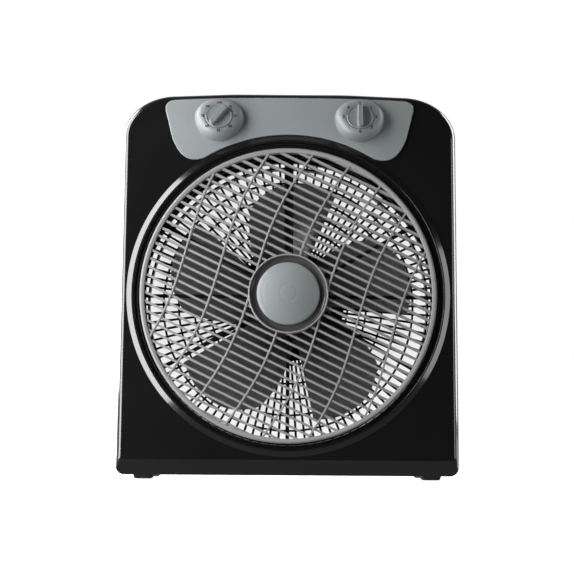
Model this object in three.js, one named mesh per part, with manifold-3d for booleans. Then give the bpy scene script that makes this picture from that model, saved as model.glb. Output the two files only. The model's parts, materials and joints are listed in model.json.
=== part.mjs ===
// Box fan, 30 cm: a square case with a rotating louvre grille in front of a five-blade rotor.
// Millimetres, +Z up, front towards -Y. Everything is drawn in a frame on the fan's axis:
// X to the right, Y is the depth behind the crest of the trim ring, Z up from the axis.
import * as THREE from 'three';
import * as BufferGeometryUtils from 'three/addons/utils/BufferGeometryUtils.js';
import Module from 'manifold-3d';

const wasm = await Module();
wasm.setup();

// ---- driving dimensions ----
const AXIS_HEIGHT = 209; // fan axis above the floor
const GAP = 0.3; // between pieces that touch
const WALL = 2.5; // moulded wall

const CASE_HALF_WIDTH = 193;
const CASE_TOP = 235;
const CASE_BOTTOM = -204.5;
const FACE_Y = 3; // front face of the case
const PARTING_Y = 64; // where the front and rear shells meet
const BACK_Y = 132;
const CASE_EDGE = { size: 8, depth: 12 }; // rounded front and back edges
const FOLD_Z = -187; // the face slants back below this line
const FOLD_DEPTH = 11;

const OPENING_R = 178; // hole in the front face
const RING_R = 183.9;
const SKIRT_R = 171.2; // inside of the trim ring's skirt
const SKIRT_END = 44;

const GRILLE_R = 169;
const GRILLE_RIM = 5.6;
const RIM_BACK = 23; // the rim reaches further back than the slats
const GRILLE_DEPTH = 13;
const SLAT_PITCH = 9.26;
const SLAT_OFFSET = 5.1; // from the axis to the first slat above it
const SLAT_ANGLE = THREE.MathUtils.degToRad(-25.5);
const SLAT_THICKNESS = 2.4;
const SLAT_DEPTH = 10;
const RIB_SPACING = 85.4;
const RIB_SWING = 9.8; // sideways reach of a rib's S curve
const RIB_COUNT = 3;
const HUB_R = 45.6;
const CAP_R = 35.9;
const FLOOR_Y = 15; // floor of the grille's hub
const AXLE_R = 5;

const SPIDER_Y = 34;
const SPIDER_DEPTH = 5;
const SPIDER_BACK = 43;
const SPIDER_ARMS = [0, 30, 150, 180, 210, 270, 330];
const SPIDER_ARM = 4.4;
const SPIDER_CHANNEL = 10.6; // the broad arm that stands upright above the hub

const BLADE_COUNT = 5;
const BLADE_TIP_R = 150.5;
const BLADE_ROOT_R = 42;
const BLADE_START = -5.5; // angle of the first blade's straight edge, in degrees
const BLADE_SPREAD = { root: 68, tip: 39 }; // angle that a blade covers, in degrees
const BLADE_CUT = { swept: 21, straight: 6 }; // what the two corners of its tip fall short
const BLADE_MID_Y = 104;
const ROTOR_HUB = { radius: 44, front: 84, back: 112 };
const SHAFT_R = 4;

const MOTOR_R = 38;
const REAR_GRILLE_Y = 124;
const REAR_GRILLE_DEPTH = 4;
const REAR_GRILLE_R = 186;
const REAR_RINGS = [96.5, 125.5, 154.4]; // mean radii of the rings
const REAR_RIBS = 24;
const REAR_PLATE_R = 67.5;
const REAR_OPENING_R = 180.5;
const MOTOR_CAP_BACK = 146;

const DIAL_X = 80.9;
const DIAL_Y = -6;
const DIAL_Z = 201.3;
const DIAL_TILT = THREE.MathUtils.degToRad(15);
const BEZEL = { radius: 28.4, z: 204.4, top: 226.4 }; // its foot on the panel
const KNOB_R = 15.3;
const TIMER_REST = THREE.MathUtils.degToRad(-38); // the timer's pointer stands past twelve o'clock
const PANEL_FRONT = 0.6;

const FOOT = { x: 163, width: 22, length: 24, front: 32, rear: 108 };
const POST = { x: 174, high: 178, low: -184, radius: 5.5, screw: 2 };
const GRIP = { width: 116, low: 190, high: 220, depth: 24 };
const GLAND = { x: 150, z: -188, radius: 5 };

// ---- helpers ----
const SEGMENTS = 48;

// a closed geometry as a manifold solid, whichever way its faces wind
function solid(geometry) {
  const bare = geometry.clone();
  bare.deleteAttribute('normal');
  bare.deleteAttribute('uv');
  const merged = BufferGeometryUtils.mergeVertices(bare, 1e-4);
  const vertProperties = new Float32Array(merged.attributes.position.array);
  const triVerts = new Uint32Array(merged.index.array);
  if (signedVolume(vertProperties, triVerts) < 0) {
    for (let i = 0; i < triVerts.length; i += 3) {
      [triVerts[i + 1], triVerts[i + 2]] = [triVerts[i + 2], triVerts[i + 1]];
    }
  }
  return new wasm.Manifold(new wasm.Mesh({ numProp: 3, vertProperties, triVerts }));
}

function signedVolume(position, index) {
  const [a, b, c] = [new THREE.Vector3(), new THREE.Vector3(), new THREE.Vector3()];
  let volume = 0;
  for (let i = 0; i < index.length; i += 3) {
    a.fromArray(position, 3 * index[i]);
    b.fromArray(position, 3 * index[i + 1]);
    c.fromArray(position, 3 * index[i + 2]);
    volume += a.dot(b.cross(c)) / 6;
  }
  return volume;
}

function geometryOf(body) {
  const mesh = body.getMesh();
  const geometry = new THREE.BufferGeometry();
  geometry.setAttribute('position', new THREE.BufferAttribute(mesh.vertProperties, 3));
  geometry.setIndex(new THREE.BufferAttribute(mesh.triVerts, 1));
  geometry.computeVertexNormals();
  return geometry;
}

const join = (bodies) => bodies.reduce((sum, body) => sum.add(body));

// a box from its centre and its size
function box([x, y, z], [w, d, h]) {
  return solid(new THREE.BoxGeometry(w, d, h).translate(x, y, z));
}

// a solid of revolution about the fan's axis from [radius, y] points
function turned(points, segments = SEGMENTS) {
  const closed = [...points, points[0]].map(([r, y]) => new THREE.Vector2(r, y));
  return solid(new THREE.LatheGeometry(closed, segments));
}

function tube(inner, outer, from, to, segments = SEGMENTS) {
  return turned([[inner, from], [outer, from], [outer, to], [inner, to]], segments);
}

function disc(radius, from, to, segments = SEGMENTS) {
  return turned([[0, from], [radius, from], [radius, to], [0, to]], segments);
}

// an outline in X and Z extruded from one depth to another, with rounded or square edges
function slab(shape, from, to, edge = null) {
  const bevel = edge ? { bevelSize: edge.size, bevelThickness: edge.depth, bevelOffset: -edge.size } : {};
  const geometry = new THREE.ExtrudeGeometry(shape, {
    depth: to - from - (edge ? 2 * edge.depth : 0),
    bevelEnabled: Boolean(edge),
    bevelSegments: 4,
    curveSegments: 8,
    ...bevel,
  });
  geometry.rotateX(Math.PI / 2).translate(0, to - (edge ? edge.depth : 0), 0);
  return solid(geometry);
}

function place(geometry, matrix) {
  return solid(geometry.applyMatrix4(matrix));
}

function moved(body, x, y, z) {
  return body.translate(x, y, z);
}

// the frame of a dial: its own Y axis points back along the tilted spindle
function dialMatrix(side) {
  return new THREE.Matrix4()
    .makeTranslation(side * DIAL_X, DIAL_Y, DIAL_Z)
    .multiply(new THREE.Matrix4().makeRotationX(-DIAL_TILT));
}

const inDial = (body, side) => body.transform(dialMatrix(side).elements);

// ---- materials ----
const plastic = (color, roughness) => new THREE.MeshStandardMaterial({ color, roughness, metalness: 0 });
const metal = (color, roughness) => new THREE.MeshStandardMaterial({ color, roughness, metalness: 1 });
const BLACK = plastic(0x17181a, 0.3);
const PANEL_GREY = plastic(0x8f9898, 0.45);
const DIAL_GREY = plastic(0xc3c8c6, 0.4);
const KNOB_GREY = plastic(0xb9bcbc, 0.35);
const GRILLE_GREY = plastic(0xa2a3a4, 0.4);
const SMOKE = plastic(0x44474a, 0.25);
const RUBBER = plastic(0x0f0f10, 0.9);
const STEEL = metal(0xb4b6b8, 0.35);
const BRONZE = metal(0x9c7b4c, 0.5);
const COPPER = metal(0xb06a3c, 0.45);
const WHITE = plastic(0xe6e4de, 0.5);

// ---- case ----
// outline of the case seen from the front, drawn in by inset
function caseOutline(inset) {
  const half = CASE_HALF_WIDTH - inset;
  const top = CASE_TOP - inset;
  const bottom = CASE_BOTTOM + inset;
  const corner = { x: 62 - inset, z: 50 - inset, low: 12 };
  const shoulder = top - 2.6; // the top edge is slightly crowned
  const pull = 0.45;
  const shape = new THREE.Shape();
  shape.moveTo(corner.low - half, bottom);
  shape.lineTo(half - corner.low, bottom);
  shape.quadraticCurveTo(half, bottom, half, bottom + corner.low);
  shape.lineTo(half, shoulder - corner.z);
  shape.bezierCurveTo(half, shoulder - pull * corner.z, half - pull * corner.x, shoulder, half - corner.x, shoulder);
  shape.quadraticCurveTo(0, top + 2.6, corner.x - half, shoulder);
  shape.bezierCurveTo(pull * corner.x - half, shoulder, -half, shoulder - pull * corner.z, -half, shoulder - corner.z);
  shape.lineTo(-half, bottom + corner.low);
  shape.quadraticCurveTo(-half, bottom, corner.low - half, bottom);
  return shape;
}

// everything in front of the slanted strip at the foot of the face, moved back by offset
function foldWedge(offset) {
  const shape = new THREE.Shape();
  const slope = FOLD_DEPTH / (FOLD_Z - CASE_BOTTOM);
  shape.moveTo(FACE_Y - 40, FOLD_Z + offset);
  shape.lineTo(FACE_Y + offset * 0.6, FOLD_Z + offset);
  shape.lineTo(FACE_Y + offset * 0.6 + slope * 40, FOLD_Z + offset - 40);
  shape.lineTo(FACE_Y - 40, FOLD_Z + offset - 40);
  shape.closePath();
  const geometry = new THREE.ExtrudeGeometry(shape, { depth: 500, bevelEnabled: false });
  // shape X becomes depth, shape Y becomes Z, and the extrusion runs along X
  const basis = new THREE.Matrix4().makeBasis(
    new THREE.Vector3(0, 1, 0), new THREE.Vector3(0, 0, 1), new THREE.Vector3(1, 0, 0),
  );
  return solid(geometry.applyMatrix4(basis).translate(-250, 0, 0));
}

const postPlaces = [-1, 1].flatMap((side) => [POST.high, POST.low].map((z) => [side * POST.x, z]));

const caseSolid = (inset) => slab(caseOutline(inset), FACE_Y + inset, BACK_Y - inset, CASE_EDGE);

function frontShell() {
  const outer = caseSolid(0);
  const inner = caseSolid(WALL);
  const behind = box([0, PARTING_Y + 100, 0], [600, 200, 600]);
  let shell = outer.subtract(foldWedge(0)).subtract(inner.subtract(foldWedge(WALL))).subtract(behind);
  const posts = postPlaces.map(([x, z]) => moved(disc(POST.radius, FACE_Y + 1, 118, 12), x, 0, z));
  shell = join([shell, ...posts]);
  const bores = postPlaces.map(([x, z]) => moved(disc(POST.screw + GAP, 90, 130, 12), x, 0, z));
  const shafts = [-1, 1].map((side) => inDial(disc(5.5, -2, 20, 24), side));
  return shell.subtract(join([...bores, ...shafts])).subtract(disc(OPENING_R, -1, 20));
}

function rearShell() {
  const outer = caseSolid(0);
  const inner = caseSolid(WALL);
  const ahead = box([0, PARTING_Y + GAP - 100, 0], [600, 200, 600]);
  const gripZ = (GRIP.low + GRIP.high) / 2;
  const gripHeight = GRIP.high - GRIP.low;
  const pocket = box([0, BACK_Y, gripZ], [GRIP.width, 2 * GRIP.depth, gripHeight]);
  const pocketWall = box([0, BACK_Y, gripZ], [
    GRIP.width + 2 * WALL, 2 * (GRIP.depth + WALL), gripHeight + 2 * WALL,
  ]);
  const shell = outer.subtract(inner.subtract(pocketWall)).subtract(pocket).subtract(ahead);
  const holes = postPlaces.map(([x, z]) => moved(disc(POST.screw + GAP, 100, 140, 12), x, 0, z));
  const gland = moved(disc(GLAND.radius + GAP, 110, 140, 20), GLAND.x, 0, GLAND.z);
  return shell.subtract(join([...holes, gland])).subtract(disc(REAR_OPENING_R, 100, 140));
}

function housingScrew([x, z]) {
  const from = 100;
  const head = BACK_Y + GAP;
  const profile = [[0, from], [POST.screw, from + 3], [POST.screw, head], [4, head], [3.2, head + 2], [0, head + 2]];
  return moved(turned(profile, 12), x, 0, z);
}

function trimRing() {
  return turned([
    [RING_R, FACE_Y - GAP], [RING_R - 6.3, 0], [RING_R - 7.3, 0], [RING_R - 8.3, 7],
    [SKIRT_R, 7.5], [SKIRT_R, SKIRT_END], [SKIRT_R + 2, SKIRT_END], [SKIRT_R + 2, 9.5],
    [OPENING_R - GAP, 9.5], [OPENING_R - GAP, FACE_Y - GAP],
  ]);
}

// ---- controls ----
function panelOutline() {
  const edge = RING_R + 0.6; // the lower edge follows the trim ring
  const right = Math.atan2(159, 99);
  const shape = new THREE.Shape();
  shape.absarc(0, 0, edge, right, Math.PI - right, false);
  shape.quadraticCurveTo(-106, 152.5, -115, 155.5);
  shape.bezierCurveTo(-125, 158.5, -130.5, 169, -135, 180);
  shape.lineTo(-143, 211);
  shape.quadraticCurveTo(-146, 223.5, -132, 224);
  shape.quadraticCurveTo(0, 230.5, 132, 224);
  shape.quadraticCurveTo(146, 223.5, 143, 211);
  shape.lineTo(135, 180);
  shape.bezierCurveTo(130.5, 169, 125, 158.5, 115, 155.5);
  shape.quadraticCurveTo(106, 152.5, edge * Math.cos(right), edge * Math.sin(right));
  return shape;
}

function controlPanel() {
  const shafts = [-1, 1].map((side) => inDial(disc(5.5, -2, 20, 24), side));
  return slab(panelOutline(), PANEL_FRONT, FACE_Y - GAP).subtract(join(shafts));
}

// a skin between rings of points, closed by a fan of triangles over the first and the last ring
function skinned(rings) {
  const count = rings[0].length;
  const positions = rings.flat().flatMap((point) => [point.x, point.y, point.z]);
  const index = [];
  for (let ring = 0; ring + 1 < rings.length; ring += 1) {
    for (let i = 0; i < count; i += 1) {
      const [a, b] = [ring * count + i, ring * count + (i + 1) % count];
      index.push(a, b, b + count, a, b + count, a + count);
    }
  }
  const last = (rings.length - 1) * count;
  for (let i = 1; i + 1 < count; i += 1) {
    index.push(0, i + 1, i, last, last + i, last + i + 1);
  }
  const geometry = new THREE.BufferGeometry();
  geometry.setAttribute('position', new THREE.Float32BufferAttribute(positions, 3));
  geometry.setIndex(index);
  return geometry;
}

// a leaning dome: from the tilted face round the knob down to a level circle on the panel
function bezel(side) {
  const face = dialMatrix(side);
  const rings = [];
  const [steps, segments] = [6, 32];
  for (let step = 0; step <= steps; step += 1) {
    const turn = Math.PI / 2 * step / steps;
    const ring = [];
    for (let i = 0; i < segments; i += 1) {
      const around = 2 * Math.PI * i / segments;
      const [cosine, sine] = [Math.cos(around), Math.sin(around)];
      const top = new THREE.Vector3(cosine, 0, sine).multiplyScalar(KNOB_R + 1.4).setY(-5).applyMatrix4(face);
      const footX = side * DIAL_X + BEZEL.radius * cosine;
      const rise = sine > 0 ? BEZEL.top - BEZEL.z : BEZEL.radius;
      const footZ = BEZEL.z + rise * sine;
      ring.push(new THREE.Vector3(
        THREE.MathUtils.lerp(top.x, footX, Math.sin(turn)),
        THREE.MathUtils.lerp(top.y, PANEL_FRONT - GAP, 1 - Math.cos(turn)),
        THREE.MathUtils.lerp(top.z, footZ, Math.sin(turn)),
      ));
    }
    rings.push(ring);
  }
  const seat = disc(KNOB_R + 0.6, -20, -3, 32);
  const bore = disc(5.5, -20, 30, 24);
  return solid(skinned(rings)).subtract(inDial(seat.add(bore), side));
}

function knob(side, turn) {
  const dish = turned([
    [0, -6], [KNOB_R - 1, -6], [KNOB_R, -5.2], [KNOB_R, -3.4], [0, -3.4],
  ], 32);
  const bar = new THREE.Shape();
  bar.absarc(0, 11.9, 2.7, 0, Math.PI, false);
  bar.absarc(0, -11.3, 3.3, Math.PI, 2 * Math.PI, false);
  const grip = slab(bar, -11.6, -5, { size: 0.8, depth: 0.8 });
  return inDial(dish.add(grip).rotate(0, THREE.MathUtils.radToDeg(turn), 0), side);
}

function spindle(side) {
  return inDial(disc(3, -3.1, 24, 16), side);
}

function controlBox(side, size) {
  const body = box([0, 18 + size / 2, 0], [36, size, 34]).subtract(disc(3 + GAP, 10, 24.4, 16));
  return inDial(body, side);
}

// ---- rotating grille ----
function slats(reach) {
  const rows = Math.floor(reach / SLAT_PITCH);
  const bars = [];
  for (let row = -rows - 1; row <= rows; row += 1) {
    const v = SLAT_OFFSET + row * SLAT_PITCH;
    if (Math.abs(v) > reach) continue;
    const half = Math.sqrt(GRILLE_R ** 2 - v ** 2) - 2.5;
    const bar = new THREE.BoxGeometry(2 * half, SLAT_DEPTH, SLAT_THICKNESS);
    bar.translate(0, GRILLE_DEPTH - SLAT_DEPTH / 2, v);
    bars.push(place(bar, new THREE.Matrix4().makeRotationY(-SLAT_ANGLE)));
  }
  return bars;
}

// a rib that swings to one side above the axis and to the other side below it
function crossRib(number) {
  const start = number * RIB_SPACING;
  const reach = Math.sqrt((GRILLE_R - 3) ** 2 - start ** 2);
  const steps = 6;
  const left = [];
  const right = [];
  for (let i = 0; i <= steps; i += 1) {
    const v = reach * (2 * i / steps - 1);
    const u = start - RIB_SWING * Math.sin(Math.PI * v / GRILLE_R);
    left.push(new THREE.Vector2(u - 1, v));
    right.push(new THREE.Vector2(u + 1, v));
  }
  const shape = new THREE.Shape([...left, ...right.reverse()]);
  const geometry = new THREE.ExtrudeGeometry(shape, { depth: SLAT_DEPTH, bevelEnabled: false });
  geometry.rotateX(Math.PI / 2).translate(0, GRILLE_DEPTH, 0).rotateY(-SLAT_ANGLE);
  return solid(geometry);
}

function louvreGrille() {
  const ribs = [];
  const side = (RIB_COUNT - 1) / 2;
  for (let i = -side; i <= side; i += 1) ribs.push(crossRib(i));
  const lattice = join([...slats(GRILLE_R - 8), ...ribs]);
  const rim = tube(GRILLE_R - GRILLE_RIM, GRILLE_R, 0.8, GRILLE_DEPTH);
  const flange = tube(GRILLE_R - 2.6, GRILLE_R, GRILLE_DEPTH, RIM_BACK);
  const hub = tube(HUB_R - 2.2, HUB_R, -1, FLOOR_Y, 32);
  const floor = tube(AXLE_R + GAP, HUB_R, FLOOR_Y, FLOOR_Y + 2.5, 32);
  const boss = tube(AXLE_R + GAP, 10, FLOOR_Y, 30, 16);
  const within = disc(HUB_R - 1, -5, 20, 32);
  const reach = disc(GRILLE_R - 2, -5, 20);
  return join([lattice.intersect(reach).subtract(within), rim, flange, hub, floor, boss]);
}

function hubKnob() {
  return turned([
    [0, -7], [12, -6.6], [24, -5.2], [31.5, -3], [CAP_R - 0.6, -0.8], [CAP_R, 0.6], [CAP_R, 3],
    [CAP_R - 2, 3], [CAP_R - 2.4, 0.8], [30, -0.6], [30, 11], [28, 11], [28, -1.2], [14, -3.8], [0, -4.2],
  ], 36);
}

function grilleAxle() {
  return turned([
    [0, 12], [8, 12], [8, FLOOR_Y - GAP], [AXLE_R, FLOOR_Y - GAP], [AXLE_R, 40], [AXLE_R - 1, 41], [0, 41],
  ], 24);
}

function grilleSpider() {
  const arm = (degrees, width) => {
    const bar = new THREE.BoxGeometry(126, SPIDER_DEPTH, width).translate(104, SPIDER_Y + SPIDER_DEPTH / 2, 0);
    return place(bar, new THREE.Matrix4().makeRotationY(THREE.MathUtils.degToRad(-degrees)));
  };
  const arms = SPIDER_ARMS.map((degrees) => arm(degrees, SPIDER_ARM));
  const hub = disc(43, SPIDER_Y - 1, SPIDER_Y + SPIDER_DEPTH, 40);
  const boss = disc(13, SPIDER_Y - 3, SPIDER_Y + 9, 24);
  const rim = tube(SKIRT_R - 6, SKIRT_R - GAP, SPIDER_Y, SPIDER_BACK);
  return join([hub, boss, rim, arm(90, SPIDER_CHANNEL), ...arms]).subtract(disc(AXLE_R + GAP, 20, 60, 24));
}

// ---- rotor ----
// one blade: a box bent so that u runs out from the hub and v runs round the axis
function blade(index) {
  const geometry = new THREE.BoxGeometry(1, 1, 1, 5, 1, 5);
  const position = geometry.attributes.position;
  for (let i = 0; i < position.count; i += 1) {
    const u = position.getX(i) + 0.5;
    const v = 0.5 - position.getZ(i);
    const side = position.getY(i) * (2.6 - 1.2 * u); // thinner towards the tip
    const corner = BLADE_CUT.swept * Math.max(0, 2 * v - 1) ** 2.6 + BLADE_CUT.straight * Math.max(0, 1 - v / 0.3);
    const radius = BLADE_ROOT_R + (BLADE_TIP_R - corner - BLADE_ROOT_R) * u;
    const out = (radius - BLADE_ROOT_R) / (BLADE_TIP_R - BLADE_ROOT_R);
    const width = THREE.MathUtils.lerp(BLADE_SPREAD.root, BLADE_SPREAD.tip, out);
    const angle = THREE.MathUtils.degToRad(BLADE_START + index * 360 / BLADE_COUNT + v * width);
    const rise = 26 * (0.75 + 0.25 * u);
    const y = BLADE_MID_Y + rise * (v - 0.5) + 5 * Math.sin(Math.PI * v) - 3 + side;
    position.setXYZ(i, radius * Math.cos(angle), y, radius * Math.sin(angle));
  }
  return solid(geometry);
}

function fanRotor() {
  const { radius, front, back } = ROTOR_HUB;
  const cup = turned([
    [0, front], [radius - 6, front], [radius, front + 5], [radius, back], [radius - 2, back],
    [radius - 2, front + 6], [radius - 7, front + 2.5], [0, front + 2.5],
  ], 32);
  const boss = disc(9, front - 4, front + 9, 24);
  const blades = [];
  for (let i = 0; i < BLADE_COUNT; i += 1) blades.push(blade(i));
  const inside = disc(radius - 1, front + 4, back + 20, 32);
  return join([cup, ...blades.map((one) => one.subtract(inside)), boss])
    .subtract(disc(SHAFT_R + GAP, front - 10, back, 24));
}

// ---- motor ----
function bladeNut() {
  const hexagon = disc(8, ROTOR_HUB.front - 10, ROTOR_HUB.front - 4 - GAP, 6);
  return hexagon.subtract(disc(SHAFT_R + GAP, ROTOR_HUB.front - 20, ROTOR_HUB.front, 24));
}

function motorShaft() {
  return turned([[0, 72], [SHAFT_R - 1, 72], [SHAFT_R, 73], [SHAFT_R, 140], [0, 140]], 24);
}

// a cup round the bearing; the open side faces the stator
function motorCover(closed, open, flange) {
  const step = Math.sign(open - closed);
  const cup = turned([
    [8.3, closed], [14, closed], [14, closed + 6 * step], [MOTOR_R - 3, closed + 6 * step],
    [MOTOR_R, closed + 9 * step], [MOTOR_R, open], [MOTOR_R - 1.5, open],
    [MOTOR_R - 1.5, closed + 9.5 * step], [MOTOR_R - 3.5, closed + 7.5 * step], [8.3, closed + 7.5 * step],
  ], 24);
  if (!flange) return cup;
  const holes = motorScrewPlaces.map(([x, z]) => moved(disc(1.8, 110, 130, 12), x, 0, z));
  return cup.add(tube(MOTOR_R - 0.8, 54, 121.2, REAR_GRILLE_Y - GAP, 24)).subtract(join(holes));
}

const motorScrewPlaces = [45, 135, 225, 315].map((degrees) => {
  const angle = THREE.MathUtils.degToRad(degrees);
  return [47 * Math.cos(angle), 47 * Math.sin(angle)];
});

function motorScrew([x, z]) {
  const head = REAR_GRILLE_Y + REAR_GRILLE_DEPTH + GAP;
  const profile = [[0, 119], [1.5, 119], [1.5, head], [3, head], [3, head + 2], [0, head + 2]];
  return moved(turned(profile, 12), x, 0, z);
}

// ---- back ----
function rearGrille() {
  const [from, to] = [REAR_GRILLE_Y, REAR_GRILLE_Y + REAR_GRILLE_DEPTH];
  const rings = REAR_RINGS.map((radius) => tube(radius - 1.1, radius + 1.1, from, to, REAR_RIBS));
  const ribs = [];
  for (let i = 0; i < REAR_RIBS; i += 1) {
    const [inner, outer] = [REAR_PLATE_R - 1, REAR_OPENING_R + 1];
    const rib = new THREE.BoxGeometry(outer - inner, REAR_GRILLE_DEPTH, 2);
    rib.translate((outer + inner) / 2, from + REAR_GRILLE_DEPTH / 2, 0);
    ribs.push(place(rib, new THREE.Matrix4().makeRotationY(2 * Math.PI * i / REAR_RIBS)));
  }
  const rim = tube(REAR_OPENING_R - 0.5, REAR_GRILLE_R, from, to);
  const plate = tube(MOTOR_R + 1, REAR_PLATE_R, from, to, 24);
  const holes = motorScrewPlaces.map(([x, z]) => moved(disc(1.8, 110, 140, 12), x, 0, z));
  return join([rim, plate, ...rings, ...ribs]).subtract(join(holes));
}

function motorCap() {
  const from = REAR_GRILLE_Y + REAR_GRILLE_DEPTH + GAP;
  return turned([
    [63, from], [63, from + 5], [58, MOTOR_CAP_BACK - 3], [52, MOTOR_CAP_BACK], [0, MOTOR_CAP_BACK],
    [0, MOTOR_CAP_BACK - 2], [51.5, MOTOR_CAP_BACK - 2], [56, MOTOR_CAP_BACK - 4.5], [61, from + 4.5], [61, from],
  ], 32);
}

function cordGland() {
  const { x, z, radius } = GLAND;
  const outside = BACK_Y + GAP;
  return moved(turned([
    [3, 122], [radius, 122], [radius, outside], [8, outside], [7, outside + 2.5], [radius, outside + 3.5],
    [3, outside + 3.5],
  ], 20), x, 0, z);
}

function foot(side, y) {
  const [w, l, top, bottom] = [FOOT.width / 2, FOOT.length / 2, CASE_BOTTOM - GAP, -AXIS_HEIGHT];
  const shape = new THREE.Shape();
  shape.moveTo(-w, top);
  shape.lineTo(-w + 2, bottom);
  shape.lineTo(w - 2, bottom);
  shape.lineTo(w, top);
  shape.closePath();
  return moved(slab(shape, y - l, y + l), side * FOOT.x, 0, 0);
}

// ---- assembly ----
const pieces = [
  ['front_shell', frontShell(), BLACK],
  ['rear_shell', rearShell(), BLACK],
  ['trim_ring', trimRing(), BLACK],
  ['control_panel', controlPanel(), PANEL_GREY],
  ['timer_bezel', bezel(-1), DIAL_GREY],
  ['speed_bezel', bezel(1), DIAL_GREY],
  ['timer_knob', knob(-1, -TIMER_REST), KNOB_GREY],
  ['speed_knob', knob(1, 0), KNOB_GREY],
  ['timer_spindle', spindle(-1), STEEL],
  ['speed_spindle', spindle(1), STEEL],
  ['timer_module', controlBox(-1, 30), WHITE],
  ['speed_switch', controlBox(1, 22), WHITE],
  ['capacitor', box([0, 34, 203], [38, 28, 18]), WHITE],
  ['cord_gland', cordGland(), BLACK],
  ['louvre_grille', louvreGrille(), GRILLE_GREY],
  ['hub_knob', hubKnob(), PANEL_GREY],
  ['grille_axle', grilleAxle(), STEEL],
  ['grille_spider', grilleSpider(), BLACK],
  ['fan_rotor', fanRotor(), SMOKE],
  ['blade_nut', bladeNut(), SMOKE],
  ['motor_shaft', motorShaft(), STEEL],
  ['motor_rotor', tube(SHAFT_R + GAP, 18.7, 107, 128, 32), STEEL],
  ['motor_stator', tube(19.3, 36, 109, 126, 32), STEEL],
  ['front_winding', tube(21, 33, 104.5, 108.7, 32), COPPER],
  ['rear_winding', tube(21, 33, 126.3, 129.5, 32), COPPER],
  ['motor_front_cover', motorCover(95, 117.7, false), STEEL],
  ['motor_rear_cover', motorCover(140, 118, true), STEEL],
  ['front_bearing', tube(SHAFT_R + GAP, 8, 95.5, 102, 24), BRONZE],
  ['rear_bearing', tube(SHAFT_R + GAP, 8, 133, 139.5, 24), BRONZE],
  ['rear_grille', rearGrille(), BLACK],
  ['motor_cap', motorCap(), BLACK],
  ...postPlaces.map((spot, i) => [`housing_screw_${i + 1}`, housingScrew(spot), STEEL]),
  ...motorScrewPlaces.map((spot, i) => [`motor_screw_${i + 1}`, motorScrew(spot), STEEL]),
  ['foot_front_left', foot(-1, FOOT.front), RUBBER],
  ['foot_front_right', foot(1, FOOT.front), RUBBER],
  ['foot_rear_left', foot(-1, FOOT.rear), RUBBER],
  ['foot_rear_right', foot(1, FOOT.rear), RUBBER],
];

const fan = new THREE.Group();
for (const [name, body, material] of pieces) {
  const mesh = new THREE.Mesh(geometryOf(body), material);
  mesh.name = name;
  fan.add(mesh);
}

// stand it on the floor, with the middle of its depth at the origin
const extent = new THREE.Box3().setFromObject(fan);
fan.position.set(0, -(extent.min.y + extent.max.y) / 2, AXIS_HEIGHT);

export default fan;
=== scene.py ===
"""Box fan, 30 cm, with a rotating louvre grille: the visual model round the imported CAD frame.

Shapes are drawn in millimetres in a frame on the fan's axis: x to the right, y the depth behind the
crest of the trim ring, z up from the axis. FAN turns that frame into the row frame in metres.
"""

import json
import math

import bmesh
import bpy
from mathutils import Matrix, Vector


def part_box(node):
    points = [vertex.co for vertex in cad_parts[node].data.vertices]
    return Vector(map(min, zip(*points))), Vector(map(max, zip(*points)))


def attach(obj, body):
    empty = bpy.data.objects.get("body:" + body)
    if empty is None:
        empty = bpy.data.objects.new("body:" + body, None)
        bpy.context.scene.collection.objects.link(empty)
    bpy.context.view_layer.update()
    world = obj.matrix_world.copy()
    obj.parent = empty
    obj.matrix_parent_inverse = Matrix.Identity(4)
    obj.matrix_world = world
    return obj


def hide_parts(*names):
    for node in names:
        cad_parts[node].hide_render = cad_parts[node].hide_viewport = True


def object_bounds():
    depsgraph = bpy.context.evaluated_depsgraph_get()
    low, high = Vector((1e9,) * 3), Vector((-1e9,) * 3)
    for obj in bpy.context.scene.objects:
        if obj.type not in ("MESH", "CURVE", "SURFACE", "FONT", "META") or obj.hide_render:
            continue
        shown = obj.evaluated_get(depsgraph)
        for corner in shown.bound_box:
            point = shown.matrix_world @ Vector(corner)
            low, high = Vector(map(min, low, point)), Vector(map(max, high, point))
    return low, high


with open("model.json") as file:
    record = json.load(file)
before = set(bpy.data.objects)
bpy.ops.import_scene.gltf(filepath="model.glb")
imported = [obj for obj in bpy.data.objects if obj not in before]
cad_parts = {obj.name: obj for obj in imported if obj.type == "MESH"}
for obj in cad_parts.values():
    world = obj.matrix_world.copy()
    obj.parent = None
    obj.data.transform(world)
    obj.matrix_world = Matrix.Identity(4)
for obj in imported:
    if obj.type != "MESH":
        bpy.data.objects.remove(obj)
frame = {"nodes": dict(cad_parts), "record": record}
CAD_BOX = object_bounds()

# ---------------------------------------------------------------- places and sizes, from the frame
MM = 0.001
RING_LOW, RING_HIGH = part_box("trim_ring")
AXIS = Vector(((RING_LOW.x + RING_HIGH.x) / 2, RING_LOW.y, (RING_LOW.z + RING_HIGH.z) / 2))
FAN = Matrix.Translation(AXIS) @ Matrix.Scale(MM, 4)


def span(node):
    """Lowest and highest corners of a CAD node in the fan's frame, in millimetres."""
    low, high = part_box(node)
    return (low - AXIS) / MM, (high - AXIS) / MM


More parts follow.
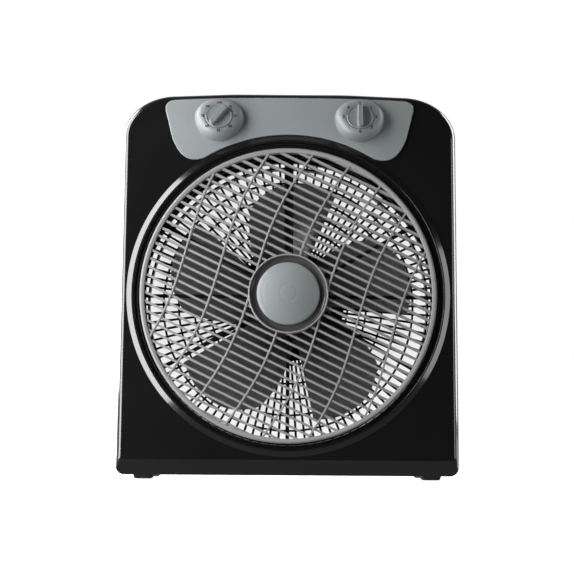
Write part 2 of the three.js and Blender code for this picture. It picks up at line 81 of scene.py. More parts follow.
SHELL_LOW, SHELL_HIGH = span("front_shell")
BACK_LOW, BACK_HIGH = span("rear_shell")
PANEL_LOW, PANEL_HIGH = span("control_panel")
HALF_WIDTH = SHELL_HIGH.x
TOP = SHELL_HIGH.z
BOTTOM = SHELL_LOW.z
FACE_Y = SHELL_LOW.y
PARTING_Y = BACK_LOW.y - 0.3
BACK_Y = BACK_HIGH.y
WALL = 2.5
EDGE = (8.0, 12.0)  # rounded edge of the case: across the face, and in depth
FOLD_Z = BOTTOM + 17.5  # the face slants back below this line
FOLD_SLOPE = 11 / 17.5
FOLD_EASE = 1.2  # softens the bend at the fold line
TOP_BOW = 2.6  # the top edge rises by this much from its ends to the middle
GRIP_Z = 205.0
GRIP_HALF = (58.0, 15.0)  # the carrying grip's half width and half height
GRIP_DEPTH = 24.0

RING_R = span("trim_ring")[1].x
RING_END = span("trim_ring")[1].y
OPENING_R = 178.0  # hole in the front shell, behind the trim ring
SKIRT_R = 171.2  # inside of the trim ring's skirt
GRILLE_R = span("louvre_grille")[1].x
HUB_R = 45.6
CAP_FRONT = span("hub_knob")[0].y
CAP_R = span("hub_knob")[1].x
CAP_DOME = 7.0  # how far the hub knob's face falls back at its edge
REAR_LOW, REAR_HIGH = span("rear_grille")
MOTOR_CAP_LOW, MOTOR_CAP_HIGH = span("motor_cap")
DIAL_TILT = math.radians(15)
BEZEL_LOW, BEZEL_HIGH = span("speed_bezel")
BEZEL_R = (BEZEL_HIGH.x - BEZEL_LOW.x) / 2
DIAL_X = (BEZEL_HIGH.x + BEZEL_LOW.x) / 2
DIAL_Y = -6.0
DIAL_Z = 201.3
SPINDLE_HOLE_R = 5.5
KNOB_R = 15.3
TIMER_REST = math.radians(38)  # the timer's pointer stands clockwise of the top at rest

SLAT_PITCH = 9.26
SLAT_OFFSET = 5.1
SLAT_ANGLE = math.radians(-25.5)
SLAT_THICKNESS = 2.7
SLAT_FRONT = 3.0
SLAT_BACK = 12.0
GRILLE_TURN = Matrix.Rotation(-SLAT_ANGLE, 4, "Y")
RIB_SPACING = 42.7
RIB_SWING = 9.8  # how far an S-shaped rib bows to either side
RIBS_EACH_SIDE = 3
BLADE_COUNT = 5
BLADE_START = -5.5  # angle of the first blade's straight edge, in degrees
BLADE_SPREAD = (68, 39)  # angle that a blade covers at its root and at its tip
BLADE_CUT = (21, 6)  # how far the swept and the straight corner of a tip fall short
BLADE_ROOT_R = 42.0
BLADE_TIP_R = 150.5
BLADE_Y = 101.0
BLADE_RISE = 26.0  # depth that a blade climbs through at its tip
BLADE_BELLY = 5.0
REAR_OPENING_R = 180.5
REAR_RINGS = (67.7, 73.6, 96.7, 116.2, 135.4, 154.3, 171.8)
REAR_RIBS = 96
REAR_RIB_HALF = 1.4
REAR_RING_HALF = 1.25
DEEP_RING_R = 160  # rings wider than this reach further forward
DEEP_RING_LIP = 7
VENT_SLOTS = 24


# ---------------------------------------------------------------- materials
def plastic(name, color, roughness, *, grain=0.03, grain_scale=2600, tone=0.06, coat=0.0):
    """Moulded plastic: a fine grain in the bump, and a slow drift in tone and roughness."""
    material = bpy.data.materials.new(name)
    material.use_nodes = True
    tree = material.node_tree
    shader = tree.nodes["Principled BSDF"]
    shader.inputs["Coat Weight"].default_value = coat
    shader.inputs["Coat Roughness"].default_value = 0.07
    place = tree.nodes.new("ShaderNodeTexCoord")
    drift = tree.nodes.new("ShaderNodeTexNoise")
    drift.inputs["Scale"].default_value = 14
    drift.inputs["Detail"].default_value = 5
    tree.links.new(place.outputs["Object"], drift.inputs["Vector"])
    ramp = tree.nodes.new("ShaderNodeValToRGB")
    dark = [channel * (1 - tone) for channel in color]
    light = [min(channel * (1 + tone), 1) for channel in color]
    ramp.color_ramp.elements[0].position = 0.3
    ramp.color_ramp.elements[1].position = 0.7
    ramp.color_ramp.elements[0].color = (*dark, 1)
    ramp.color_ramp.elements[1].color = (*light, 1)
    tree.links.new(drift.outputs["Fac"], ramp.inputs["Fac"])
    tree.links.new(ramp.outputs["Color"], shader.inputs["Base Color"])
    rough = tree.nodes.new("ShaderNodeMapRange")
    rough.inputs["From Min"].default_value = 0.3
    rough.inputs["From Max"].default_value = 0.7
    rough.inputs["To Min"].default_value = roughness * 0.88
    rough.inputs["To Max"].default_value = roughness * 1.12
    tree.links.new(drift.outputs["Fac"], rough.inputs["Value"])
    tree.links.new(rough.outputs["Result"], shader.inputs["Roughness"])
    fine = tree.nodes.new("ShaderNodeTexNoise")
    fine.inputs["Scale"].default_value = grain_scale
    fine.inputs["Detail"].default_value = 2
    tree.links.new(place.outputs["Object"], fine.inputs["Vector"])
    bump = tree.nodes.new("ShaderNodeBump")
    bump.inputs["Strength"].default_value = grain
    bump.inputs["Distance"].default_value = 0.0002
    tree.links.new(fine.outputs["Fac"], bump.inputs["Height"])
    tree.links.new(bump.outputs["Normal"], shader.inputs["Normal"])
    return material


def smoked(name, color, roughness, glow, share):
    """Dark plastic thin enough to let some light through, as in the fan's blades."""
    material = plastic(name, color, roughness, grain=0.02, coat=0.2)
    tree = material.node_tree
    through = tree.nodes.new("ShaderNodeBsdfTranslucent")
    through.inputs["Color"].default_value = (*glow, 1)
    mix = tree.nodes.new("ShaderNodeMixShader")
    mix.inputs["Fac"].default_value = share
    tree.links.new(tree.nodes["Principled BSDF"].outputs["BSDF"], mix.inputs[1])
    tree.links.new(through.outputs["BSDF"], mix.inputs[2])
    tree.links.new(mix.outputs["Shader"], tree.nodes["Material Output"].inputs["Surface"])
    return material


def metal(name, color, roughness, *, brush=(40, 900, 40)):
    """Drawn or turned metal with fine lines along one direction."""
    material = plastic(name, color, roughness, grain=0.08, tone=0.12)
    tree = material.node_tree
    tree.nodes["Principled BSDF"].inputs["Metallic"].default_value = 1
    fine = [node for node in tree.nodes if node.bl_idname == "ShaderNodeTexNoise"][1]
    fine.inputs["Scale"].default_value = 1
    stretch = tree.nodes.new("ShaderNodeMapping")
    stretch.inputs["Scale"].default_value = brush
    place = tree.nodes["Texture Coordinate"]
    tree.links.new(place.outputs["Object"], stretch.inputs["Vector"])
    tree.links.new(stretch.outputs["Vector"], fine.inputs["Vector"])
    return material


MATERIALS = {
    "black_gloss": plastic("black_gloss", (0.006, 0.006, 0.0062), 0.17, grain=0.01, tone=0.1, coat=0.7),
    "panel_grey": plastic("panel_grey", (0.235, 0.256, 0.26), 0.36, grain=0.04),
    "dial_grey": plastic("dial_grey", (0.2, 0.215, 0.215), 0.4, grain=0.04),
    "knob_grey": plastic("knob_grey", (0.21, 0.225, 0.23), 0.24, grain=0.03, coat=0.4),
    "grille_grey": plastic("grille_grey", (0.272, 0.272, 0.273), 0.34, grain=0.03),
    "smoke": smoked("smoke", (0.07, 0.071, 0.073), 0.26, (0.62, 0.62, 0.63), 0.42),
    "black_satin": plastic("black_satin", (0.009, 0.009, 0.0092), 0.4, grain=0.05),
    "rubber_feet": plastic("rubber_feet", (0.012, 0.012, 0.012), 0.8, grain=0.3, grain_scale=1400),
    "steel": metal("steel", (0.55, 0.55, 0.56), 0.32),
    "bronze": metal("bronze", (0.5, 0.34, 0.17), 0.45),
    "copper": metal("copper", (0.6, 0.27, 0.12), 0.35, brush=(900, 60, 900)),
    "white_plastic": plastic("white_plastic", (0.72, 0.7, 0.66), 0.45),
}
# painted shade: the hub recess is the grille's grey plastic in shadow, painted as a much darker grey
DISH_PAINTED_SHADE = plastic("hub_dish", (0.05, 0.05, 0.051), 0.45, grain=0.05)
PRINT = plastic("dial_print", (0.004, 0.004, 0.005), 0.6, grain=0.02)


# ---------------------------------------------------------------- mesh helpers
def build(name, bm, slot, body, *nodes, smooth=32, material=None):
    """Turn a bmesh in the fan's frame into a finished piece that rides on a body."""
    bmesh.ops.recalc_face_normals(bm, faces=bm.faces)
    mesh = bpy.data.meshes.new(name)
    bm.to_mesh(mesh)
    bm.free()
    mesh.transform(FAN)
    for polygon in mesh.polygons:
        polygon.use_smooth = True
    mesh.set_sharp_from_angle(angle=math.radians(smooth))
    mesh.materials.append(material or MATERIALS[slot])
    piece = bpy.data.objects.new(name, mesh)
    bpy.context.scene.collection.objects.link(piece)
    weighted = piece.modifiers.new("normals", "WEIGHTED_NORMAL")
    weighted.keep_sharp = True
    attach(piece, body)
    if nodes:
        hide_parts(*nodes)
    return piece


def bridge(bm, first, second):
    """Quads between two rings of vertices, or triangles where one ring is a single point."""
    if len(first) == 1 and len(second) == 1:
        return
    count = max(len(first), len(second))
    for i in range(count):
        j = (i + 1) % count
        a, b = first[i % len(first)], first[j % len(first)]
        c, d = second[j % len(second)], second[i % len(second)]
        corners = [a, b, c, d]
        corners = [v for k, v in enumerate(corners) if v not in corners[:k]]
        bm.faces.new(corners)


def loft(bm, loops, closed=False, caps=False):
    """Skin between loops of points; closed joins the last loop to the first."""
    rings = [[bm.verts.new(point) for point in loop] for loop in loops]
    for first, second in zip(rings, rings[1:]):
        bridge(bm, first, second)
    if closed:
        bridge(bm, rings[-1], rings[0])
    if caps:
        bm.faces.new(rings[0])
        bm.faces.new(rings[-1])
    return rings


def circle(radius, y, count):
    """Points on a circle round the Y axis."""
    turns = [2 * math.pi * i / count for i in range(count)]
    return [(radius * math.cos(a), y, radius * math.sin(a)) for a in turns]


def lathe(bm, profile, count=160, place=None):
    """Revolve a closed profile of (radius, y) about the Y axis, then set it in place."""
    start = len(bm.verts)
    loops = [[(0, y, 0)] if radius < 1e-6 else circle(radius, y, count) for radius, y in profile]
    loft(bm, loops, closed=True)
    if place is not None:
        bm.verts.ensure_lookup_table()
        bmesh.ops.transform(bm, matrix=place, verts=bm.verts[start:])


def rounded(points, radius, steps=4, closed=True):
    """Round the corners of a polygon of 2-D points; corners on the axis stay sharp."""
    result = []
    count = len(points)
    for i, corner in enumerate(points):
        here = Vector(corner)
        before = Vector(points[i - 1]) - here
        after = Vector(points[(i + 1) % count]) - here
        reach = min(radius, 0.45 * before.length, 0.45 * after.length)
        if here.x < 1e-6 or reach < 1e-4:
            result.append(tuple(here))
            continue
        start = here + before.normalized() * reach
        end = here + after.normalized() * reach
        for step in range(steps + 1):
            t = step / steps
            point = start * (1 - t) ** 2 + here * 2 * t * (1 - t) + end * t ** 2
            result.append(tuple(point))
    return result


def curve(a, b, c, d, count):
    """Points along a cubic curve, without its first point."""
    points = []
    for i in range(1, count + 1):
        t = i / count
        weights = ((1 - t) ** 3, 3 * t * (1 - t) ** 2, 3 * t ** 2 * (1 - t), t ** 3)
        points.append(sum((Vector(p) * w for p, w in zip((a, b, c, d), weights)), Vector((0, 0))))
    return points


def line(a, b, count):
    """Points along a straight line, without its first point."""
    return [Vector(a).lerp(Vector(b), i / count) for i in range(1, count + 1)]


def inset_loop(points, inset):
    """A closed 2-D outline, anticlockwise, drawn in along its own normals."""
    result = []
    count = len(points)
    for i, point in enumerate(points):
        along = points[(i + 1) % count] - points[i - 1]
        normal = Vector((-along.y, along.x)).normalized()
        result.append(point + normal * inset)
    return result


def layers(outline, steps):
    """Loops of an outline drawn in by an inset, one at each (inset, depth)."""
    return [[(p.x, y, p.y) for p in inset_loop(outline, inset)] for inset, y in steps]


def prism(outline, front, back):
    """The two loops of an outline that is the same at both depths."""
    return [[(p.x, y, p.y) for p in outline] for y in (front, back)]


def plate(bm, outline, front, back, edge, steps=5):
    """An outline as a plate between two depths, with its front edge rounded and the back edge eased."""
    profile = []
    for step in range(steps + 1):
        turn = math.pi / 2 * step / steps
        profile.append((edge * (1 - math.sin(turn)), front + edge * (1 - math.cos(turn))))
    profile += [(0, back - 0.2), (0.2, back)]
    loft(bm, layers(outline, profile), caps=True)


def stadium(half_width, half_height, radius, count=8):
    """A rounded rectangle about the origin, anticlockwise."""
    points = []
    for turn, (sx, sz) in enumerate(((1, -1), (1, 1), (-1, 1), (-1, -1))):
        middle = Vector((sx * (half_width - radius), sz * (half_height - radius)))
        for i in range(count + 1):
            angle = math.pi / 2 * (turn - 1 + i / count)
            points.append(middle + radius * Vector((math.cos(angle), math.sin(angle))))
    return points


def merge(bm, other):
    """Move everything in one bmesh into another."""
    mesh = bpy.data.meshes.new("part")
    other.to_mesh(mesh)
    other.free()
    bm.from_mesh(mesh)
    bpy.data.meshes.remove(mesh)


def boolean(piece, cutter, operation):
    """Join or cut a piece with a loose solid, which is used up."""
    modifier = piece.modifiers.new("cut", "BOOLEAN")
    modifier.operation = operation
    modifier.solver = "EXACT"
    modifier.object = cutter
    bpy.context.view_layer.update()
    graph = bpy.context.evaluated_depsgraph_get()
    mesh = bpy.data.meshes.new_from_object(piece.evaluated_get(graph))
    piece.modifiers.remove(modifier)
    old = piece.data
    piece.data = mesh
    bpy.data.meshes.remove(old)
    bpy.data.objects.remove(cutter)


def tool(bm):
    """A loose solid for boolean(), from a bmesh in the fan's frame."""
    bmesh.ops.recalc_face_normals(bm, faces=bm.faces)
    mesh = bpy.data.meshes.new("tool")
    bm.to_mesh(mesh)
    bm.free()
    mesh.transform(FAN)
    cutter = bpy.data.objects.new("tool", mesh)
    bpy.context.scene.collection.objects.link(cutter)
    return cutter


# ---------------------------------------------------------------- case
def case_outline():
    """The case from the front, anticlockwise from the middle of the bottom edge."""
    low = 10.0  # reach of the lower corners
    wide, tall = 62.0, 50.0  # reach of the upper corners
    pull = 0.45
    shoulder = TOP - TOP_BOW
    right = [Vector((0, BOTTOM))]
    right += line((0, BOTTOM), (HALF_WIDTH - low, BOTTOM), 24)
    k = pull * low
    right += curve((HALF_WIDTH - low, BOTTOM), (HALF_WIDTH - k, BOTTOM),
                   (HALF_WIDTH, BOTTOM + k), (HALF_WIDTH, BOTTOM + low), 12)
    right += line((HALF_WIDTH, BOTTOM + low), (HALF_WIDTH, shoulder - tall), 30)
    right += curve((HALF_WIDTH, shoulder - tall), (HALF_WIDTH, shoulder - pull * tall),
                   (HALF_WIDTH - pull * wide, shoulder), (HALF_WIDTH - wide, shoulder), 28)
    crown = TOP + TOP_BOW
    third = (HALF_WIDTH - wide) / 3
    bend = (HALF_WIDTH - wide - 2 * third, shoulder + 2 * (crown - shoulder) / 3)
    right += curve((HALF_WIDTH - wide, shoulder), bend, (2 * third, TOP), (0, TOP), 20)
    left = [Vector((-p.x, p.y)) for p in reversed(right[1:-1])]
    return right + left


OUTLINE = case_outline()


def around(outline, radius, y):
    """Points on a circle, one in the direction of each point of an outline."""
    return [(radius * p.normalized().x, y, radius * p.normalized().y) for p in outline]


def section(inset, y):
    """The case's outline, drawn in by an inset, at one depth."""
    return layers(OUTLINE, [(inset, y)])[0]


def rounded_edge(face_y, direction, steps=8):
    """Sections of the case's rounded edge, from the flat face outwards."""
    size, depth = EDGE
    turns = [math.pi / 2 * i / steps for i in range(steps + 1)]
    return [section(size * (1 - math.sin(t)), face_y + direction * depth * (1 - math.cos(t))) for t in turns]


def fold_back(bm):
    """Slant the foot of the face: below the fold line nothing stands in front of the slope."""
    geometry = bm.verts[:] + bm.edges[:] + bm.faces[:]
    bmesh.ops.bisect_plane(bm, geom=geometry, plane_co=(0, 0, FOLD_Z), plane_no=(0, 0, 1))
    for vert in bm.verts:
        below = FOLD_Z - vert.co.z
        if below <= 1e-4 or vert.co.y > PARTING_Y - 20:
            continue
        inner = vert.co.y > FACE_Y + EDGE[1] + 0.5 or abs(vert.co.y - FACE_Y - WALL) < 0.01
        slope = FACE_Y + below * FOLD_SLOPE + (WALL if inner else 0)
        gap = vert.co.y - slope
        vert.co.y = slope + (gap + math.sqrt(gap * gap + FOLD_EASE * min(below, 2))) / 2


def front_shell():
    """The front half of the case, with its round opening and the slanted strip at its foot."""
    bm = bmesh.new()
    loops = [around(OUTLINE, OPENING_R, FACE_Y)]
    loops += rounded_edge(FACE_Y, 1)
    loops += [section(0, PARTING_Y - 1.0), section(0.7, PARTING_Y - 0.3), section(WALL, PARTING_Y - 0.3)]
    loops += [section(WALL, FACE_Y + EDGE[1] + 1), section(EDGE[0] + 1, FACE_Y + WALL)]
    loops += [around(OUTLINE, OPENING_R, FACE_Y + WALL)]
    loft(bm, loops, closed=True)
    fold_back(bm)
    return build("front_shell_skin", bm, "black_gloss", "housing", "front_shell")


def grip_block(grow, depth, past):
    """A rounded block at the carrying grip, larger than the recess by grow."""
    half_width, half_height = GRIP_HALF
    shape = stadium(half_width + grow, half_height + grow, 9 + grow)
    outline = [point + Vector((0, GRIP_Z)) for point in shape]
    floor_y = BACK_Y - depth
    steps = ((3, floor_y), (0.8, floor_y + 0.8), (0, floor_y + 3), (0, BACK_Y + past))
    bm = bmesh.new()
    loft(bm, layers(outline, steps), caps=True)
    return bm


def rear_shell():
    """The back half of the case, with a walled recess to carry the fan by."""
    bm = bmesh.new()
    loops = [around(OUTLINE, REAR_OPENING_R, BACK_Y)]
    loops += rounded_edge(BACK_Y, -1)
    loops += [section(0, PARTING_Y + 1.3), section(0.7, PARTING_Y + 0.6), section(WALL, PARTING_Y + 0.6)]
    loops += [section(WALL, BACK_Y - EDGE[1] - 1), section(EDGE[0] + 1, BACK_Y - WALL)]
    loops += [around(OUTLINE, REAR_OPENING_R, BACK_Y - WALL)]
    loft(bm, loops, closed=True)
    piece = build("rear_shell_skin", bm, "black_gloss", "housing", "rear_shell")
    boolean(piece, tool(grip_block(2, GRIP_DEPTH + 2, -1.2)), "UNION")
    boolean(piece, tool(grip_block(0, GRIP_DEPTH, 5)), "DIFFERENCE")
    return piece


def trim_ring():
    """The glossy ring round the opening: a bevel, a groove, and a skirt that runs back inside."""
    bm = bmesh.new()
    profile = [
        (RING_R, FACE_Y - 0.3), (RING_R - 6.3, 0), (RING_R - 7.6, 0.1), (RING_R - 8.6, 7),
        (173.4, 7.4), (173.1, 6.6), (172.5, 6.6), (172.2, 7.6), (SKIRT_R, 7.8), (SKIRT_R, RING_END),
        (SKIRT_R + 2, RING_END), (SKIRT_R + 2, 9.5), (OPENING_R - 0.3, 9.5), (OPENING_R - 0.3, FACE_Y - 0.3),
    ]
    lathe(bm, rounded(profile, 0.55, 3), 256)
    return build("trim_ring_turned", bm, "black_gloss", "housing", "trim_ring")


# ---------------------------------------------------------------- controls
def panel_outline():
    """The panel from the front, anticlockwise: it follows the ring below and widens upwards."""
    edge = RING_R + 0.6
    start = math.atan2(159, 99)
    turns = [start + (math.pi - 2 * start) * i / 60 for i in range(61)]
    arc = [Vector((edge * math.cos(a), edge * math.sin(a))) for a in turns]
    left = curve(arc[-1], (-103, 154.8), (-109, 153.6), (-115, 155.5), 8)
    left += curve((-115, 155.5), (-125, 158.5), (-130.5, 169), (-135, 180), 10)
    left += line((-135, 180), (-142.6, 210), 6)
    left += curve((-142.6, 210), (-145, 220), (-141, 224.4), (-131, 225), 10)
    left += curve((-131, 225), (-90, 227.4), (-45, 228), (0, 228), 16)
    right = [Vector((-p.x, p.y)) for p in reversed(left[:-1])]
    return list(reversed(arc + left + right))


def control_panel():
    """The grey panel across the top."""
    bm = bmesh.new()
    plate(bm, panel_outline(), PANEL_LOW.y, PANEL_HIGH.y, 1.1)
    return build("control_panel_moulded", bm, "panel_grey", "housing", "control_panel")


def dial_place(side):
    """The frame of a dial: its Y axis points back along the tilted spindle."""
    return Matrix.Translation((side * DIAL_X, DIAL_Y, DIAL_Z)) @ Matrix.Rotation(-DIAL_TILT, 4, "X")


FACE_R = KNOB_R + 1.4  # the bezel's flat lip round the knob
FACE_H = -5.0  # depth of that lip along the spindle
FOOT_Y = PANEL_LOW.y - 0.05
FOOT_Z = BEZEL_LOW.z + BEZEL_R
SCALE_R = FACE_R + 1.9


def bezel_point(side, around, out):
    """A point on the bezel's dome: out is 0 at the lip round the knob and 1 at the foot on the panel."""
    cosine, sine = math.cos(around), math.sin(around)
    top = dial_place(side) @ Vector((FACE_R * cosine, FACE_H, FACE_R * sine))
    foot_z = FOOT_Z + (BEZEL_HIGH.z - FOOT_Z if sine > 0 else BEZEL_R) * sine
    foot = Vector((side * DIAL_X + BEZEL_R * cosine, FOOT_Y, foot_z))
    fall = 1 - math.sqrt(max(1 - out * out, 0))
    reach = foot - top
    return top + Vector((reach.x * out, reach.y * fall, reach.z * out))


def bezel(name, side, node):
    """The domed bezel of a dial, which leans back with the dial and meets the panel in a round foot."""
    bm = bmesh.new()
    count = 128
    steps = 16
    turns = [2 * math.pi * i / count for i in range(count)]
    outs = [math.sin(math.pi / 2 * i / steps) for i in range(steps + 1)]
    place = dial_place(side)
    well = [(SPINDLE_HOLE_R, -3.0), (KNOB_R + 0.45, -3.0), (KNOB_R + 0.45, -4.7), (KNOB_R + 0.75, FACE_H)]
    loops = [[place @ Vector((r * math.cos(a), h, r * math.sin(a))) for a in turns] for r, h in well]
    loops += [[bezel_point(side, a, out) for a in turns] for out in outs]
    hole = Vector((side * DIAL_X, FOOT_Y, DIAL_Z))
    loops.append([hole + SPINDLE_HOLE_R * Vector((math.cos(a), 0, math.sin(a))) for a in turns])
    loft(bm, loops, closed=True)
    return build(name, bm, "dial_grey", "housing", node, smooth=40)


def text_mesh(label, size, bold):
    """Flat lettering with a little thickness, in X and Y, facing +Z."""
    text = bpy.data.curves.new("mark", "FONT")
    text.body = label
    text.size = size
    text.align_x = "CENTER"
    text.align_y = "CENTER"
    text.offset = bold
    text.extrude = 0.05
    text.resolution_u = 3
    mark = bpy.data.objects.new("mark", text)
    bpy.context.scene.collection.objects.link(mark)
    bpy.context.view_layer.update()
    mesh = bpy.data.meshes.new_from_object(mark.evaluated_get(bpy.context.evaluated_depsgraph_get()))
    bpy.data.objects.remove(mark)
    bpy.data.curves.remove(text)
    return mesh


def dial_scale(name, side, labels, size):
    """Numbers round a dial, laid on the bezel's dome."""
    bm = bmesh.new()
    flank = BEZEL_R - FACE_R
    lean = dial_place(side).to_3x3()
    for i, label in enumerate(labels):
        angle = 2 * math.pi * i / len(labels)
        mesh = text_mesh(label, size, 0.045 * size)
        start = len(bm.verts)
        bm.from_mesh(mesh)
        bpy.data.meshes.remove(mesh)
        bm.verts.ensure_lookup_table()
        for vert in bm.verts[start:]:
            u = vert.co.x + SCALE_R * math.sin(angle)
            v = vert.co.y + SCALE_R * math.cos(angle)
            radius = math.hypot(u, v)
            out = (radius - FACE_R) / flank
            spot = bezel_point(side, math.atan2(v, u), max(out, 0))
            if out < 0:
                spot += lean @ Vector((u, 0, v)) * out * flank / radius
            vert.co = spot + Vector((0, -0.03 - vert.co.z, 0))
    return build(name, bm, "black_satin", "housing", material=PRINT)


def knob(name, side, turn, body, node):
    """A dial's knob: a shallow dish with a raised pointer bar, and a dark dot at the pointer's tip."""
    bm = bmesh.new()
    place = dial_place(side) @ Matrix.Rotation(turn, 4, "Y")
    dish = [(0, -5.3), (KNOB_R - 1.7, -5.4), (KNOB_R - 1.2, -6.1), (KNOB_R - 0.5, -6.15), (KNOB_R, -5.6),
            (KNOB_R, -3.3), (0, -3.3)]
    lathe(bm, rounded(dish, 0.3, 3), 96, place)
    outline = []
    tip, tail = (11.9, 3.0, 0), (-11.3, 3.5, math.pi)
    for middle, radius, first in (tip, tail):
        for i in range(17):
            angle = first + math.pi * i / 16
            outline.append(Vector((radius * math.cos(angle), middle + radius * math.sin(angle))))
    start = len(bm.verts)
    sections = [(1.15, -11.6), (0.75, -11.5), (0.5, -11.2), (0.4, -10.8), (0.2, -8), (0, -5.0)]
    loft(bm, layers(outline, sections), caps=True)
    bm.verts.ensure_lookup_table()
    bmesh.ops.transform(bm, matrix=place, verts=bm.verts[start:])
    piece = build(name, bm, "knob_grey", body, node, smooth=50)
    dot = bmesh.new()
    spot = place @ Matrix.Translation((0, -11.55, 12.2))
    lathe(dot, [(0, 0.3), (0.75, 0.3), (0.75, -0.08), (0, -0.08)], 24, spot)
    build(name + "_dot", dot, "black_satin", body, material=PRINT)
    return piece


# ---------------------------------------------------------------- rotating grille
def bar(bm, half_length, v, thickness, front, back):
    """A slat: rounded front edge, thinner towards the back."""
    half = thickness / 2
    edge = 0.45
    turns = (0.5, 1.0, math.pi / 2)
    side = [(half - edge * (1 - math.cos(t)), front + edge * (1 - math.sin(t))) for t in turns]
    right = [(half * 0.7, back), (half, front + edge)] + side
    profile = [(-w, y) for w, y in right] + list(reversed(right))
    stations = [-half_length, half_length]
    loft(bm, [[(u, y, v + w) for w, y in profile] for u in stations], caps=True)


def slats(bm):
    """The slats across the grille; those that meet the hub are split in two."""
    rows = int(GRILLE_R / SLAT_PITCH) + 1
    inner = HUB_R - 1.2
    for row in range(-rows, rows + 1):
        v = SLAT_OFFSET + row * SLAT_PITCH
        if abs(v) > GRILLE_R - 5.5:
            continue
        reach = math.sqrt((GRILLE_R - 2.4) ** 2 - v * v)
        if abs(v) < inner - 1:
            start = math.sqrt(inner ** 2 - v * v)
            for side in (-1, 1):
                piece = bmesh.new()
                bar(piece, (reach - start) / 2, v, SLAT_THICKNESS, SLAT_FRONT, SLAT_BACK)
                bmesh.ops.translate(piece, vec=(side * (reach + start) / 2, 0, 0), verts=piece.verts)
                merge(bm, piece)
        else:
            bar(bm, reach, v, SLAT_THICKNESS, SLAT_FRONT, SLAT_BACK)


def rib_bow(v):
    """How far an S-shaped rib stands to one side at a height."""
    return RIB_SWING * math.sin(math.pi * v / GRILLE_R)


def rib_stretch(bm, start, low, high):
    """Part of an S-shaped cross rib between two heights."""
    right = [(0.6, 1.9), (0.95, 2.1), (1.1, 2.6), (0.8, 9.5)]
    profile = [(-w, y) for w, y in reversed(right)] + right
    steps = max(4, int((high - low) / 6))
    loops = []
    for i in range(steps + 1):
        v = low + (high - low) * i / steps
        u = start - rib_bow(v)
        slope = -RIB_SWING * math.pi / GRILLE_R * math.cos(math.pi * v / GRILLE_R)
        across = Vector((1, -slope)).normalized()
        loops.append([(u + across.x * w, y, v + across.y * w) for w, y in profile])
    loft(bm, loops, caps=True)


def ribs(bm):
    """The S-shaped ribs across the slats; the middle one stops at the hub."""
    inner = HUB_R - 1.0
    for number in range(-RIBS_EACH_SIDE, RIBS_EACH_SIDE + 1):
        start = number * RIB_SPACING
        reach = rim_reach(start, 1)
        low = rim_reach(start, -1)
        if number == 0:
            rib_stretch(bm, start, inner, reach)
            rib_stretch(bm, start, low, -inner)
        else:
            rib_stretch(bm, start, low, reach)


def rim_reach(start, side):
    """Height at which a rib meets the rim, found by stepping outwards."""
    v = 0.0
    limit = GRILLE_R - 3
    while math.hypot(start - rib_bow(v), v) < limit:
        v += side * 0.25
    return v


def louvre_grille():
    """The grille that turns in front of the blades: slats, ribs, rim and hub in one moulding."""
    bm = bmesh.new()
    slats(bm)
    ribs(bm)
    bmesh.ops.transform(bm, matrix=GRILLE_TURN, verts=bm.verts)
    rim = [(GRILLE_R - 5.6, 1.7), (GRILLE_R - 1.8, 0.8), (GRILLE_R, 2.4), (GRILLE_R, 23),
           (GRILLE_R - 2.6, 23), (GRILLE_R - 4.4, 12), (GRILLE_R - 5.6, 5)]
    lathe(bm, rounded(rim, 0.9, 4), 256)
    hub = [(HUB_R - 1.9, -0.8), (HUB_R - 0.3, -0.8), (HUB_R, 1), (HUB_R, 15.5), (12, 15.5), (12, 29.5),
           (6, 29.5), (6, 13.4), (HUB_R - 2.6, 13.4), (HUB_R - 2.0, 4)]
    lathe(bm, rounded(hub, 0.7, 4), 128)
    return build("louvre_grille_moulded", bm, "grille_grey", "grille", "louvre_grille", smooth=38)


def hub_dish():
    """The recess in the hub, between its rim and the knob: a separate dark piece whose darkness is painted
    shade, standing in for the grille's grey plastic in shadow.
    """
    bm = bmesh.new()
    profile = [(HUB_R - 2.3, 0.6), (HUB_R - 2.9, 0.6), (HUB_R - 4.2, 3.2), (31, 3.9), (31, 7),
               (HUB_R - 2.9, 7)]
    lathe(bm, rounded(profile, 0.5, 3), 128)
    return build("hub_dish", bm, "smoke", "grille", material=DISH_PAINTED_SHADE)


def groove(radius, middle, depth, width):
    """How deep a faint round groove is at a radius."""
    return depth * math.exp(-((radius - middle) / width) ** 2)


def hub_knob():
    """The knob in the middle of the grille: a shallow dome with two faint grooves round it."""
    bm = bmesh.new()
    middle = CAP_FRONT + 0.25
    steps = 32
    profile = [(0, middle)]
    for i in range(1, steps + 1):
        radius = (CAP_R - 1.2) * i / steps
        fall = CAP_DOME * (radius / CAP_R) ** 2
        grooves = groove(radius, 9.6, 0.3, 0.9) + groove(radius, 29.5, 0.14, 0.7)
        profile.append((radius, middle + fall + grooves))
    edge = profile[-1][1]
    profile += [(CAP_R - 0.35, edge + 0.8), (CAP_R, edge + 1.9), (CAP_R, 3), (CAP_R - 1.8, 3)]
    profile += [(CAP_R - 2.2, 0.8), (0, -1.5)]
    lathe(bm, profile, 160)
    sleeve = [(28, -0.8), (30, -0.8), (30, 10.8), (28, 10.8)]
    lathe(bm, rounded(sleeve, 0.4, 2), 96)
    return build("hub_knob_domed", bm, "panel_grey", "hub_cap", "hub_knob")


